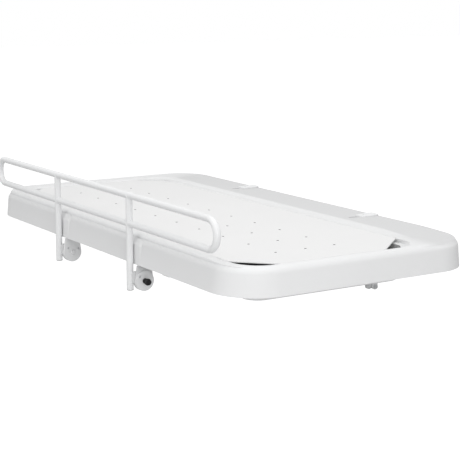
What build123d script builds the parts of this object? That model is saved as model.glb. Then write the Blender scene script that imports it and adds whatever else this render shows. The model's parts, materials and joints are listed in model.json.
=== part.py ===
from build123d import *
import os
from math import acos, atan2, cos, hypot, pi, sin, radians

# Wall-mounted shower change table for children, in millimetres, +Z up.
# It is drawn from the middle of the tray: X runs along the tray to its near end, Y runs from the
# foot of the front skirt to the wall, and Z runs up from the foot of the skirt. At export every
# piece moves so that the origin is the middle of the wall bolt pattern, on the wall.

# Tray shell
tray_length = 1400.0
tray_depth = 714.0
tray_corner_r = 117.5
tray_wall = 4.0
skirt_lean_deg = 5.0
deck_z = 70.2
edge_roll_r = 20.0

# Raised band round the back, the left end and the front
rim_z = 75.0
band_inset = 12.0
band_roll_r = 8.0
band_back_inset = 149.0
band_side_inset = 3.5
band_back_slope = 14.0
band_side_slope = 6.0
band_reach_shares = (0, 0.22, 0.5, 0.78, 1)
band_rise_shares = (0, 0.13, 0.5, 0.87, 1)
band_foot_z = 50.0
fade_start_x = 490.0
fade_run = 105.0

# Recess that takes the lying sheet, and its ledge
recess_left_x = -631.5
recess_right_x = 675.3
recess_front_y = 43.5
recess_back_inset = 167.7
recess_corner_r = 70.0
recess_edge_r = 1.6
recess_edge_shares = (0, 0.35, 0.7, 1)
bowl_reach = 48.0
bowl_reach_shares = (1, 0.62, 0.32, 0.12, 0)
bowl_rise_shares = (0, 0.1, 0.32, 0.64, 1)
ledge_z = 58.0
ledge_width = 18.0

# Upright bosses on the leaning skirt behind the rail posts
boss_left_x = -207.5
boss_right_x = 210.0
boss_half = 36.0
boss_top_z = 52.0
boss_face_y = -0.5
boss_depth = 8.0
boss_draft_deg = 61.0
boss_corner_r = 5.0
boss_edge_r = 2.5

# Basin pan
pan_wall = 3.0
pan_seam = 0.5
pan_flange_width = 16.0
pan_bottom_z = -20.0
pan_lean_deg = 5.0
pan_corner_r = 12.0

# Lying sheet
sheet_thickness = 3.0
sheet_top_z = 70.0
sheet_left_x = -630.0
sheet_right_x = 674.0
sheet_front_y = 45.0
sheet_back_gap = 1.3
sheet_corner_r = 8.0
sheet_edge_r = 0.8
cut_front_right_x = 584.0
cut_front_right_y = 134.0
cut_back_right_x = 578.0
cut_back_right_depth = 110.0
cut_left_x = -546.0
cut_left_depth = 84.0
hole_r = 3.25
hole_columns = 10
hole_rows = 3
hole_pitch_x = 116.88
hole_pitch_y = 86.19
hole_first_x = -487.68
hole_first_y = 192.1
pad_r = 7.0
pad_gap = 0.3
pad_inset = 10.0

# Side rail
rail_y = -10.0
tube_r = 8.75
tube_wall = 1.5
top_bar_z = 175.0
low_bar_z = 104.0
rail_left_x = -632.0
rail_right_x = 638.0
post_left_x = -211.5
post_right_x = 211.3
post_foot_z = -65.5
weld_seam = 0.05
plug_lip = 1.2
plug_depth = 12.0
plug_seam = 0.1

# Rail hinge
pivot_y = 22.0
pivot_z = -43.7
disc_r = 26.2
hub_grip = 3.5
hub_thickness = 4.4
hub_web_top_z = -19.0
hub_web_low_z = -48.0
hub_web_gap = 2.2
running_gap = 0.4
plate_left_thickness = 7.5
neck_thickness = 3.0
index_disc_thickness = 3.2
neck_half = 20.5
neck_back_y = 45.0
neck_shoulder_z = -3.0
neck_upper_front_y = 16.0
neck_foot_thickness = 4.0
neck_foot_length = 36.0
pivot_pin_r = 5.0
pivot_cap_r = 7.0
pivot_cap_height = 4.5
pin_clearance = 0.05
disc_screw_r = 2.8
disc_screw_height = 1.4
disc_screw_shank_r = 1.5
disc_screw_depth = 2.2
disc_screw_ring_r = 19.0
disc_screw_turns_left = (137, 29)
disc_screw_turns_right = (140,)

# Rail lock on the right pivot
lock_depth = 4.0
lock_end_gap = 0.3
lock_hex_r = 4.6
lock_hex_clearance = 0.1
lock_hex_setback = 0.5
lock_shaft_r = 2.5
hub_ring_r = 12.0
lock_housing_r = 7.0
lock_housing_bore_r = 5.6
lock_housing_length = 8.0
lock_housing_end = 1.3
knob_r = 8.8
knob_length = 9.6
knob_gap = 2.4
knob_cap = 2.6
knob_edge_r = 2.2
spring_r = 3.8
spring_wire_r = 0.4
spring_turns = 2.0
spring_pitch = 0.85

# Frame under the tray
hinge_mid_x = 12.0
hinge_half_spacing = 295.0
arm_width = 34.0
arm_height = 30.0
arm_wall = 2.5
arm_front_y = 120.0
arm_back_inset = 24.0
strap_thickness = 5.0
strap_front_y = 51.0
strap_back_y = 165.0
strap_top_z = 33.0
crossbar_front_y = 22.0
crossbar_back_y = 51.0
crossbar_low_z = 8.0
rear_bar_inset = 124.0
rear_bar_width = 30.0
pad_back_inset = 214.0
pad_length = 60.0

# Wall hinges
hinge_pin_inset = 9.0
hinge_pin_z = 62.0
hinge_pin_r = 4.0
hinge_head_r = 6.5
hinge_head = 2.5
knuckle_r = 7.5
knuckle_inner = 5.0
knuckle_outer = 7.0
ear_gap = 1.0
ear_thickness = 6.0
hinge_pin_reach = 19.0
wall_plate_thickness = 6.0
wall_plate_half = 30.0
wall_plate_top_z = 58.0
wall_plate_low_z = -108.0
wall_plate_corner_r = 8.0
ear_low_z = 33.0
stop_reach = 32.5
stop_z = -123.6
stop_r = 7.0
stop_bolt_r = 3.0
stop_head_r = 6.0
stop_head = 4.0
foot_r = 8.5
foot_top_z = -72.0
heel_r = 7.0
heel_gap = 0.3
heel_front_z = -62.0
heel_back_top_z = -40.0
heel_back_low_z = -78.0
riser_front_inset = 64.0
riser_neck_inset = 26.0
riser_back_inset = 14.0
riser_neck_z = 44.0

# Wall bolts
bolt_pitch_z = 100.0
bolt_mid_z = -45.0
bolt_inset = 14.0
bolt_hole_r = 4.5

# Hinge covers and the slots round them
cover_half = 17.0
cover_front_inset = 75.0
cover_back_inset = 16.0
cover_front_rise = 2.6
cover_back_rise = 4.4
cover_corner_r = 9.0
cover_edge_r = 1.2
cover_screw_inset = 58.0
cover_screw_r = 2.4
cover_screw_height = 0.5
cover_screw_depth = 12.0
slot_half = 5.0
slot_end_share = 0.95
slot_front_inset = 107.0
slot_back_inset = 76.0
notch_front_inset = 19.0
notch_low_z = 40.0
notch_top_z = 71.0
notch_clearance = 2.0

# Drain
drain_x = 0.0
drain_y = 300.0
drain_bore_r = 17.0
drain_spigot_r = 20.0
drain_flange_r = 32.0
drain_flange = 3.0
drain_thread_r = 24.0
drain_nut_r = 33.0
drain_nut = 9.0
drain_seal = 2.0
drain_low_z = -78.0
drain_thread_z = -40.0
strainer_r = 27.0
strainer_hole_r = 2.5
strainer_ring_r = 11.0
strainer_holes = 8
pan_hole_r = 24.4

# Screws
fixing_head_r = 5.0
fixing_head = 3.0
fixing_shank_r = 2.5
fixing_seam = 0.1

overrun = 30.0

# Places worked out from the sizes above
band_back_y = tray_depth - band_back_inset
recess_back_y = tray_depth - recess_back_inset
sheet_back_y = recess_back_y - sheet_back_gap
cut_back_right_y = sheet_back_y - cut_back_right_depth
arm_back_y = tray_depth - arm_back_inset
rear_bar_back_y = tray_depth - rear_bar_inset
pad_back_y = tray_depth - pad_back_inset
hinge_pin_y = tray_depth - hinge_pin_inset
wall_distance = hinge_pin_y + hinge_pin_reach
stop_y = wall_distance - stop_reach
cover_front_y = tray_depth - cover_front_inset
cover_back_y = tray_depth - cover_back_inset
cover_screw_y = tray_depth - cover_screw_inset
hub_left_x = post_left_x + tube_r
hub_right_x = post_right_x + tube_r
plate_left_x = hub_left_x + hub_thickness + running_gap
neck_right_x = hub_right_x + hub_thickness + running_gap
disc_right_x = neck_right_x + neck_thickness
disc_face_x = disc_right_x + index_disc_thickness
ring_end_x = disc_right_x - lock_end_gap
arm_top_z = pan_bottom_z - strap_thickness
arm_low_z = arm_top_z - arm_height
wall_face_y = wall_distance - wall_plate_thickness
pan_floor_z = pan_bottom_z + pan_wall
sheet_low_z = sheet_top_z - sheet_thickness
bend_r = (top_bar_z - low_bar_z) / 2
bend_z = (top_bar_z + low_bar_z) / 2
bend_left_x = rail_left_x + tube_r + bend_r
bend_right_x = rail_right_x - tube_r - bend_r
sides = {"left": -1, "right": 1}

made = {}


def box(x0, x1, y0, y1, z0, z1):
    size = (x1 - x0, y1 - y0, z1 - z0)
    middle = ((x0 + x1) / 2, (y0 + y1) / 2, (z0 + z1) / 2)
    return Pos(*middle) * Box(*size)


def slab(x0, x1, y0, y1, r, z0, z1):
    outline = Pos((x0 + x1) / 2, (y0 + y1) / 2, z0) * RectangleRounded(x1 - x0, y1 - y0, r)
    return extrude(outline, amount=z1 - z0)


def rod_x(r, x0, x1, y, z):
    return Pos((x0 + x1) / 2, y, z) * Rot(0, 90, 0) * Cylinder(r, x1 - x0)


def rod_y(r, y0, y1, x, z):
    return Pos(x, (y0 + y1) / 2, z) * Rot(90, 0, 0) * Cylinder(r, y1 - y0)


def rod_z(r, z0, z1, x, y):
    return Pos(x, y, (z0 + z1) / 2) * Cylinder(r, z1 - z0)


def side_plate(points, x0, x1):
    """A flat plate in the YZ plane, from X x0 to x1."""
    corners = [(x0, y, z) for y, z in points]
    outline = Polyline(*corners, close=True)
    return extrude(make_face(outline), amount=x1 - x0, dir=(1, 0, 0))


def hinge_x(side, outward):
    """X of a place on a wall hinge, counted outward from the middle of its cover."""
    return hinge_mid_x + side * (hinge_half_spacing + outward)


def hinge_span(side, inner, outer):
    ends = sorted((hinge_x(side, inner), hinge_x(side, outer)))
    return ends[0], ends[1]


def keep(name, shape):
    made[name] = shape


# Tray shell

def skirt_block(inset, height, roll):
    flat = RectangleRounded(tray_length - 2 * inset, tray_depth - 2 * inset, tray_corner_r - inset)
    block = extrude(Pos(0, tray_depth / 2, 0) * flat, amount=height, taper=skirt_lean_deg)
    top = block.faces().sort_by(Axis.Z)[-1]
    return fillet(top.edges(), roll)


def stepped_slab(levels):
    """A rounded block that changes its plan with height: z, x0, x1, y0, y1 and corner radius."""
    plans = []
    for z, x0, x1, y0, y1, r in levels:
        plans.append(Pos((x0 + x1) / 2, (y0 + y1) / 2, z) * RectangleRounded(x1 - x0, y1 - y0, r))
    return loft(plans, ruled=True)


def raised_band():
    half = tray_length / 2 - band_inset
    back = tray_depth - band_inset
    outer = slab(-half, half, band_inset, back, tray_corner_r - band_inset, band_foot_z, rim_z)
    outer = fillet(outer.faces().sort_by(Axis.Z)[-1].edges(), band_roll_r)
    x0 = recess_left_x - band_side_inset
    x1 = half + overrun
    y0 = recess_front_y - band_side_inset
    r = recess_corner_r + band_side_inset
    levels = [(band_foot_z - overrun, x0, x1, y0, band_back_y, r)]
    for reach, rise in zip(band_reach_shares, band_rise_shares):
        side = band_side_slope * reach
        z = deck_z + (rim_z - deck_z) * rise
        levels.append((z, x0 - side, x1, y0 - side, band_back_y + band_back_slope * reach, r + side))
    top = levels[-1]
    levels.append((top[0] + overrun, top[1], top[2], top[3], top[4], top[5]))
    band = outer - stepped_slab(levels)
    slope = (rim_z - deck_z) / fade_run
    fade_end_z = rim_z - slope * (half + overrun - fade_start_x)
    side = [(-half - overrun, band_foot_z), (-half - overrun, rim_z), (fade_start_x, rim_z),
            (half + overrun, fade_end_z), (half + overrun, band_foot_z)]
    corners = [(x, 0, z) for x, z in side]
    fade = extrude(make_face(Polyline(*corners, close=True)), amount=tray_depth, dir=(0, 1, 0))
    return band & fade


def recess_slab(grow, z0, z1):
    return slab(recess_left_x - grow, recess_right_x + grow, recess_front_y - grow,
                recess_back_y + grow, recess_corner_r + grow, z0, z1)


def recess_edge():
    """The rounded top edge of the recess."""
    levels = []
    for share in recess_edge_shares:
        turn = share * pi / 2
        grow = recess_edge_r * (1 - cos(turn))
        z = deck_z - recess_edge_r * (1 - sin(turn))
        levels.append((z, recess_left_x - grow, recess_right_x + grow, recess_front_y - grow,
                       recess_back_y + grow, recess_corner_r + grow))
    return stepped_slab(levels)


def recess_bowl():
    """The recess below the deck: its corners slope in to the basin like a bowl."""
    levels = []
    for reach, rise in zip(bowl_reach_shares, bowl_rise_shares):
        z = ledge_z + (deck_z - ledge_z) * rise
        levels.append((z, recess_left_x, recess_right_x, recess_front_y, recess_back_y,
                       recess_corner_r + bowl_reach * reach))
    return stepped_slab(levels)


def boss(x):
    """An upright face for the rail post, with drafted sides that run out on the leaning skirt."""
    x0 = x - boss_half
    x1 = x + boss_half
    outline = Polyline((x0, boss_face_y, -overrun), (x0, boss_face_y, boss_top_z),
                       (x1, boss_face_y, boss_top_z), (x1, boss_face_y, -overrun), close=True)
    plan = make_face(outline)
    plan = fillet(plan.vertices().sort_by(Axis.Z)[-2:], boss_corner_r)
    block = extrude(plan, amount=boss_depth, dir=(0, 1, 0), taper=-boss_draft_deg)
    block = fillet(block.faces().sort_by(Axis.Y)[0].edges(), boss_edge_r)
    reach = tray_corner_r
    return block & box(x - reach, x + reach, -overrun, overrun, 0, rim_z)


def hinge_notch(side):
    back = tray_depth + overrun
    x0, x1 = hinge_span(side, -knuckle_inner - notch_clearance,
                        knuckle_outer + ear_gap + ear_thickness + hinge_head + notch_clearance)
    notch = box(x0, x1, tray_depth - notch_front_inset, back, notch_low_z, notch_top_z)
    t0, t1 = hinge_span(side, -slot_half, slot_half)
    slot = slab(t0, t1, tray_depth - slot_front_inset, tray_depth - slot_back_inset,
                slot_end_share * slot_half, notch_low_z, rim_z + overrun)
    return notch + slot


def tray_shell():
    shell = skirt_block(0, deck_z, edge_roll_r) + raised_band()
    hollow = skirt_block(tray_wall, deck_z - tray_wall, edge_roll_r - tray_wall)
    lining = recess_slab(tray_wall, ledge_z - tray_wall, rim_z + overrun)
    hollow = hollow - lining
    shell = shell - hollow
    shell = shell - recess_bowl() - recess_slab(0, deck_z, rim_z + overrun) - recess_edge()
    shell = shell - recess_slab(-ledge_width, ledge_z - overrun, rim_z)
    for x in (boss_left_x, boss_right_x):
        shell = shell + boss(x)
    for side in sides.values():
        shell = shell - hinge_notch(side)
        shell = shell - cover_screw(side, cover_screw_r / 2 + fixing_seam)
    keep("tray_shell", shell)


# Basin pan, drain and lying sheet

def pan_block(inset, floor_z, roll):
    shrink = ledge_width + pan_seam + inset
    x0 = recess_left_x + shrink
    x1 = recess_right_x - shrink
    y0 = recess_front_y + shrink
    y1 = recess_back_y - shrink
    top_z = ledge_z + pan_wall
    level = Plane(origin=((x0 + x1) / 2, (y0 + y1) / 2, top_z), x_dir=(1, 0, 0), z_dir=(0, 0, -1))
    flat = level * RectangleRounded(x1 - x0, y1 - y0, recess_corner_r - shrink)
    block = extrude(flat, amount=top_z - floor_z, taper=pan_lean_deg)
    floor = block.faces().sort_by(Axis.Z)[0]
    return fillet(floor.edges(), roll)


def basin_pan():
    gap = ledge_width - pan_flange_width
    flange = slab(recess_left_x + gap, recess_right_x - gap, recess_front_y + gap, recess_back_y - gap,
                  recess_corner_r + bowl_reach - gap, ledge_z, ledge_z + pan_wall)
    pan = flange + pan_block(0, pan_bottom_z, pan_corner_r)
    pan = pan - pan_block(pan_wall, pan_floor_z, pan_corner_r - pan_wall)
    pan = pan - rod_z(pan_hole_r, pan_bottom_z - overrun, pan_floor_z + overrun, drain_x, drain_y)
    keep("basin_pan", pan)


def drain():
    seal_top = pan_floor_z + drain_seal
    flange_top = seal_top + drain_flange
    body = rod_z(drain_flange_r, seal_top, flange_top, drain_x, drain_y)
    body = body + rod_z(drain_thread_r, drain_thread_z, seal_top, drain_x, drain_y)
    body = body + rod_z(drain_spigot_r, drain_low_z, drain_thread_z, drain_x, drain_y)
    bore = rod_z(drain_bore_r, drain_low_z - overrun, flange_top + overrun, drain_x, drain_y)
    keep("drain_body", body - bore)
    seal = rod_z(drain_flange_r, pan_floor_z, seal_top, drain_x, drain_y)
    keep("drain_seal", seal - rod_z(drain_thread_r + pan_seam, pan_floor_z, seal_top, drain_x, drain_y))
    nut_plan = Pos(drain_x, drain_y, pan_bottom_z - drain_nut) * RegularPolygon(drain_nut_r, 6)
    nut = extrude(nut_plan, amount=drain_nut)
    nut = nut - rod_z(drain_thread_r + pin_clearance, pan_bottom_z - drain_nut, pan_bottom_z,
                      drain_x, drain_y)
    keep("drain_nut", nut)
    strainer = rod_z(strainer_r, flange_top, flange_top + drain_seal, drain_x, drain_y)
    for number in range(strainer_holes):
        turn = 2 * pi * number / strainer_holes
        x = drain_x + strainer_ring_r * cos(turn)
        y = drain_y + strainer_ring_r * sin(turn)
        strainer = strainer - rod_z(strainer_hole_r, flange_top - overrun, flange_top + overrun, x, y)
    keep("drain_strainer", strainer)


def lying_sheet():
    x0 = sheet_left_x
    x1 = sheet_right_x
    y0 = sheet_front_y
    y1 = sheet_back_y
    outline = [(cut_left_x, y0), (cut_front_right_x, y0), (x1, cut_front_right_y),
               (x1, cut_back_right_y), (cut_back_right_x, y1), (cut_left_x, y1),
               (x0, y1 - cut_left_depth), (x0, y0 + cut_left_depth)]
    corners = [(x, y, sheet_low_z) for x, y in outline]
    sheet = extrude(make_face(Polyline(*corners, close=True)), amount=sheet_thickness, dir=(0, 0, 1))
    sheet = fillet(sheet.edges().filter_by(Axis.Z), sheet_corner_r)
    sheet = fillet(sheet.faces().sort_by(Axis.Z)[-1].edges(), sheet_edge_r)
    for column in range(hole_columns):
        for row in range(hole_rows):
            x = hole_first_x + hole_pitch_x * column
            y = hole_first_y + hole_pitch_y * row
            sheet = sheet - rod_z(hole_r, sheet_low_z - overrun, sheet_top_z + overrun, x, y)
    keep("lying_sheet", sheet)


def sheet_pads():
    top = sheet_low_z - pad_gap
    low = ledge_z + pan_wall
    front = recess_front_y + pad_inset
    back = recess_back_y - pad_inset
    reach = recess_right_x - recess_corner_r - recess_corner_r
    places = [(x, y) for x in (-reach, -reach / 3, reach / 3, reach) for y in (front, back)]
    pads = [rod_z(pad_r, low, top, x, y) for x, y in places]
    keep("sheet_rest_pads", Compound(children=pads))


# Side rail

def tube_z(x, z0, z1):
    tube = rod_z(tube_r, z0, z1, x, rail_y)
    return tube - rod_z(tube_r - tube_wall, z0 - overrun, z1 + overrun, x, rail_y)


def tube_x(x0, x1, z):
    tube = rod_x(tube_r, x0, x1, rail_y, z)
    return tube - rod_x(tube_r - tube_wall, x0 - overrun, x1 + overrun, rail_y, z)


def bend(x, side):
    ring = Pos(x, rail_y, bend_z) * Rot(90, 0, 0) * Torus(bend_r, tube_r)
    ring = ring - Pos(x, rail_y, bend_z) * Rot(90, 0, 0) * Torus(bend_r, tube_r - tube_wall)
    reach = bend_r + tube_r + overrun
    half = sorted((x, x + side * reach))
    return ring & box(half[0], half[1], rail_y - reach, rail_y + reach, bend_z - reach, bend_z + reach)


def rail():
    keep("rail_top_bar", tube_x(bend_left_x, bend_right_x, top_bar_z))
    keep("rail_bend_left", bend(bend_left_x, -1))
    keep("rail_bend_right", bend(bend_right_x, 1))
    under_bar = rod_x(tube_r + weld_seam, bend_left_x, bend_right_x, rail_y, top_bar_z)
    for name, x in (("left", post_left_x), ("right", post_right_x)):
        keep("rail_post_" + name, tube_z(x, post_foot_z, top_bar_z) - under_bar)
        plug = rod_z(tube_r, post_foot_z - plug_lip, post_foot_z, x, rail_y)
        plug = plug + rod_z(tube_r - tube_wall - plug_seam, post_foot_z, post_foot_z + plug_depth,
                            x, rail_y)
        keep("post_end_plug_" + name, plug)
    spans = {"left": (bend_left_x, post_left_x), "middle": (post_left_x, post_right_x),
             "right": (post_right_x, bend_right_x)}
    for name, (x0, x1) in spans.items():
        bar = tube_x(x0, x1, low_bar_z)
        for x in (post_left_x, post_right_x):
            bar = bar - rod_z(tube_r + weld_seam, low_bar_z - overrun, low_bar_z + overrun, x, rail_y)
        keep("rail_low_bar_" + name, bar)


# Rail hinge

def hub_plate(x0, x1):
    """The disc on the pivot with its web out to the post."""
    disc = rod_x(disc_r, x0, x1, pivot_y, pivot_z)
    return disc + box(x0, x1, rail_y + hub_web_gap, pivot_y, hub_web_low_z, hub_web_top_z)


def hub_left():
    hub = hub_plate(hub_left_x - hub_grip, hub_left_x + hub_thickness)
    hub = hub - rod_z(tube_r + weld_seam, post_foot_z - overrun, pivot_z + disc_r + overrun,
                      post_left_x, rail_y)
    hub = hub - rod_x(pivot_pin_r + pin_clearance, hub_left_x - overrun, hub_left_x + overrun,
                      pivot_y, pivot_z)
    keep("rail_hub_left", hub)


def hex_rod(r, x0, x1):
    plan = Plane(origin=(x0, pivot_y, pivot_z), x_dir=(0, 1, 0), z_dir=(1, 0, 0))
    return extrude(plan * RegularPolygon(r, 6), amount=x1 - x0)


def hub_right():
    face_x = hub_right_x + hub_thickness
    hub = hub_plate(hub_right_x - hub_grip, face_x)
    hub = hub + rod_x(hub_ring_r, face_x, ring_end_x, pivot_y, pivot_z)
    hub = hub - rod_z(tube_r + weld_seam, post_foot_z - overrun, pivot_z + disc_r + overrun,
                      post_right_x, rail_y)
    hub = hub - hex_rod(lock_hex_r + lock_hex_clearance, ring_end_x - lock_depth, ring_end_x + overrun)
    keep("rail_hub_right", hub)


def neck(x0, x1):
    """A hinge plate: disc, neck behind the skirt and foot under the crossbar."""
    disc = rod_x(disc_r, x0, x1, pivot_y, pivot_z)
    rise = neck_shoulder_z - pivot_z
    touch = atan2(rise, neck_half) - acos(disc_r / hypot(rise, neck_half))
    touch_y = disc_r * cos(touch)
    touch_z = pivot_z + disc_r * sin(touch)
    web = side_plate([(pivot_y - touch_y, touch_z), (pivot_y - neck_half, neck_shoulder_z),
                      (neck_upper_front_y, neck_shoulder_z), (neck_upper_front_y, crossbar_low_z),
                      (pivot_y + neck_half, crossbar_low_z), (pivot_y + neck_half, neck_shoulder_z),
                      (pivot_y + touch_y, touch_z)], x0, x1)
    foot = box(x0 - neck_foot_length, x1, crossbar_front_y, neck_back_y,
               crossbar_low_z - neck_foot_thickness, crossbar_low_z)
    return disc + web + foot


def neck_screws(x0, name):
    head_z = crossbar_low_z - neck_foot_thickness
    x = x0 - neck_foot_length / 2
    y = (crossbar_front_y + neck_back_y) / 2
    places = (x - neck_foot_length / 4, x + neck_foot_length / 4)
    screws = [rod_z(fixing_head_r, head_z - fixing_head, head_z, place, y)
              + rod_z(fixing_shank_r, head_z, crossbar_low_z + arm_wall, place, y)
              for place in places]
    holes = [rod_z(fixing_shank_r + fixing_seam, head_z - overrun, crossbar_low_z + overrun, place, y)
             for place in places]
    keep(name, Compound(children=screws))
    return holes


def disc_screws(face_x, turns, name):
    screws = []
    holes = []
    for turn in turns:
        y = pivot_y + disc_screw_ring_r * cos(radians(turn))
        z = pivot_z + disc_screw_ring_r * sin(radians(turn))
        screws.append(rod_x(disc_screw_r, face_x, face_x + disc_screw_height, y, z)
                      + rod_x(disc_screw_shank_r, face_x - disc_screw_depth, face_x, y, z))
        holes.append(rod_x(disc_screw_shank_r + fixing_seam, face_x - disc_screw_depth - fixing_seam,
                           face_x + overrun, y, z))
    if len(screws) == 1:
        keep(name, screws[0])
    else:
        keep(name, Compound(children=screws))
    return holes


def hinge_left():
    face_x = plate_left_x + plate_left_thickness
    plate = neck(plate_left_x, face_x)
    plate = plate - rod_x(pivot_pin_r + pin_clearance, plate_left_x - overrun, face_x + overrun,
                          pivot_y, pivot_z)
    holes = neck_screws(plate_left_x, "neck_screws_left")
    holes = holes + disc_screws(face_x, disc_screw_turns_left, "disc_screws_left")
    for hole in holes:
        plate = plate - hole
    keep("rail_hinge_plate_left", plate)
    pin = rod_x(pivot_pin_r, hub_left_x - hub_grip, face_x, pivot_y, pivot_z)
    cap = rod_x(pivot_cap_r, face_x, face_x + pivot_cap_height, pivot_y, pivot_z)
    cap = fillet(cap.faces().sort_by(Axis.X)[-1].edges(), pivot_cap_height / 3)
    keep("pivot_pin_left", pin + cap)


def hinge_right():
    plate = neck(neck_right_x, disc_right_x)
    plate = plate - rod_x(hub_ring_r + pin_clearance, neck_right_x - overrun, disc_right_x + overrun,
                          pivot_y, pivot_z)
    for hole in neck_screws(neck_right_x, "neck_screws_right"):
        plate = plate - hole
    keep("rail_hinge_plate_right", plate)
    disc = rod_x(disc_r, disc_right_x, disc_face_x, pivot_y, pivot_z)
    disc = disc - hex_rod(lock_hex_r + lock_hex_clearance, disc_right_x - overrun,
                          disc_face_x + overrun)
    for hole in disc_screws(disc_face_x, disc_screw_turns_right, "disc_screw_right"):
        disc = disc - hole
    keep("index_disc_right", disc)


def lock():
    end_x = disc_face_x + lock_housing_length
    housing = rod_x(lock_housing_r, disc_face_x, end_x, pivot_y, pivot_z)
    housing = housing - rod_x(lock_housing_bore_r, disc_face_x, end_x - lock_housing_end,
                              pivot_y, pivot_z)
    housing = housing - rod_x(lock_shaft_r + pin_clearance, disc_face_x, end_x + overrun,
                              pivot_y, pivot_z)
    keep("lock_housing", housing)
    knob_x = end_x + knob_gap
    knob = rod_x(knob_r, knob_x, knob_x + knob_length, pivot_y, pivot_z)
    knob = fillet(knob.edges().filter_by(GeomType.CIRCLE), knob_edge_r)
    inside_x = knob_x + knob_length - knob_cap
    knob = knob - rod_x(lock_shaft_r + pin_clearance, knob_x - overrun, inside_x, pivot_y, pivot_z)
    keep("lock_knob", knob)
    hex_end_x = disc_face_x - lock_hex_setback
    plunger = hex_rod(lock_hex_r, disc_right_x, hex_end_x)
    plunger = plunger + rod_x(lock_shaft_r, hex_end_x, inside_x, pivot_y, pivot_z)
    keep("lock_plunger", plunger)
    coil_r = spring_r - spring_wire_r
    length = spring_pitch * spring_turns
    path = Helix(spring_pitch, length, coil_r)
    section = Plane(path @ 0, z_dir=path % 0) * Circle(spring_wire_r)
    coil = sweep(section, path=path, is_frenet=True)
    start_x = end_x - lock_housing_end - length - spring_wire_r
    keep("lock_spring", Pos(start_x, pivot_y, pivot_z) * Rot(0, 90, 0) * coil)


# Frame under the tray

def arms():
    for name, side in sides.items():
        x0, x1 = hinge_span(side, -knuckle_inner - arm_width, -knuckle_inner)
        arm = box(x0, x1, arm_front_y, arm_back_y, arm_low_z, arm_top_z)
        arm = arm - box(x0 + arm_wall, x1 - arm_wall, arm_front_y - overrun, arm_back_y + overrun,
                        arm_low_z + arm_wall, arm_top_z - arm_wall)
        keep("frame_arm_" + name, arm)
        strap = box(x0, x1, strap_front_y, strap_back_y, arm_top_z, pan_bottom_z)
        strap = strap + box(x0, x1, strap_front_y, strap_front_y + strap_thickness,
                            arm_top_z, strap_top_z)
        keep("front_strap_" + name, strap)
        pad = box(x0, x1, pad_back_y - pad_length, pad_back_y, arm_top_z, pan_bottom_z)
        keep("pan_rest_pad_" + name, pad)


def crossbars():
    x0 = hinge_x(-1, -knuckle_inner)
    x1 = hinge_x(1, -knuckle_inner)
    high = strap_top_z
    bar = box(x0, x1, crossbar_front_y, crossbar_back_y, crossbar_low_z, high)
    bar = bar - box(x0 - overrun, x1 + overrun, crossbar_front_y + arm_wall,
                    crossbar_back_y - arm_wall, crossbar_low_z + arm_wall, high - arm_wall)
    holes = []
    for x in (plate_left_x, neck_right_x):
        y = (crossbar_front_y + neck_back_y) / 2
        middle = x - neck_foot_length / 2
        for place in (middle - neck_foot_length / 4, middle + neck_foot_length / 4):
            holes.append(rod_z(fixing_shank_r + fixing_seam, crossbar_low_z - overrun,
                               crossbar_low_z + arm_wall, place, y))
    for hole in holes:
        bar = bar - hole
    keep("front_crossbar", bar)
    rear_x0 = hinge_x(-1, -knuckle_inner - arm_width)
    rear_x1 = hinge_x(1, -knuckle_inner - arm_width)
    rear_front_y = rear_bar_back_y - rear_bar_width
    rear = box(rear_x0, rear_x1, rear_front_y, rear_bar_back_y, arm_low_z, arm_top_z)
    rear = rear - box(rear_x0 - overrun, rear_x1 + overrun, rear_front_y + arm_wall,
                      rear_bar_back_y - arm_wall, arm_low_z + arm_wall, arm_top_z - arm_wall)
    keep("rear_crossbar", rear)


def hinge_plates():
    heel_y = stop_y - stop_r - heel_gap - heel_r
    heel_back_y = heel_y + heel_r
    front_y = tray_depth - riser_front_inset
    neck_y = tray_depth - riser_neck_inset
    back_y = tray_depth - riser_back_inset
    for name, side in sides.items():
        x0, x1 = hinge_span(side, -knuckle_inner, knuckle_outer)
        plate = side_plate([(front_y, arm_low_z), (front_y, arm_top_z), (neck_y, riser_neck_z),
                            (hinge_pin_y, hinge_pin_z), (back_y, riser_neck_z),
                            (back_y, heel_back_top_z), (heel_back_y, heel_back_low_z),
                            (heel_back_y, stop_z), (heel_y - heel_r, stop_z),
                            (heel_y - heel_r, heel_front_z)], x0, x1)
        plate = plate + rod_x(knuckle_r, x0, x1, hinge_pin_y, hinge_pin_z)
        plate = plate + rod_x(heel_r, x0, x1, heel_y, stop_z)
        plate = plate - rod_x(hinge_pin_r + pin_clearance, x0 - overrun, x1 + overrun,
                              hinge_pin_y, hinge_pin_z)
        keep("hinge_plate_" + name, plate)


# Wall brackets

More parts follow.
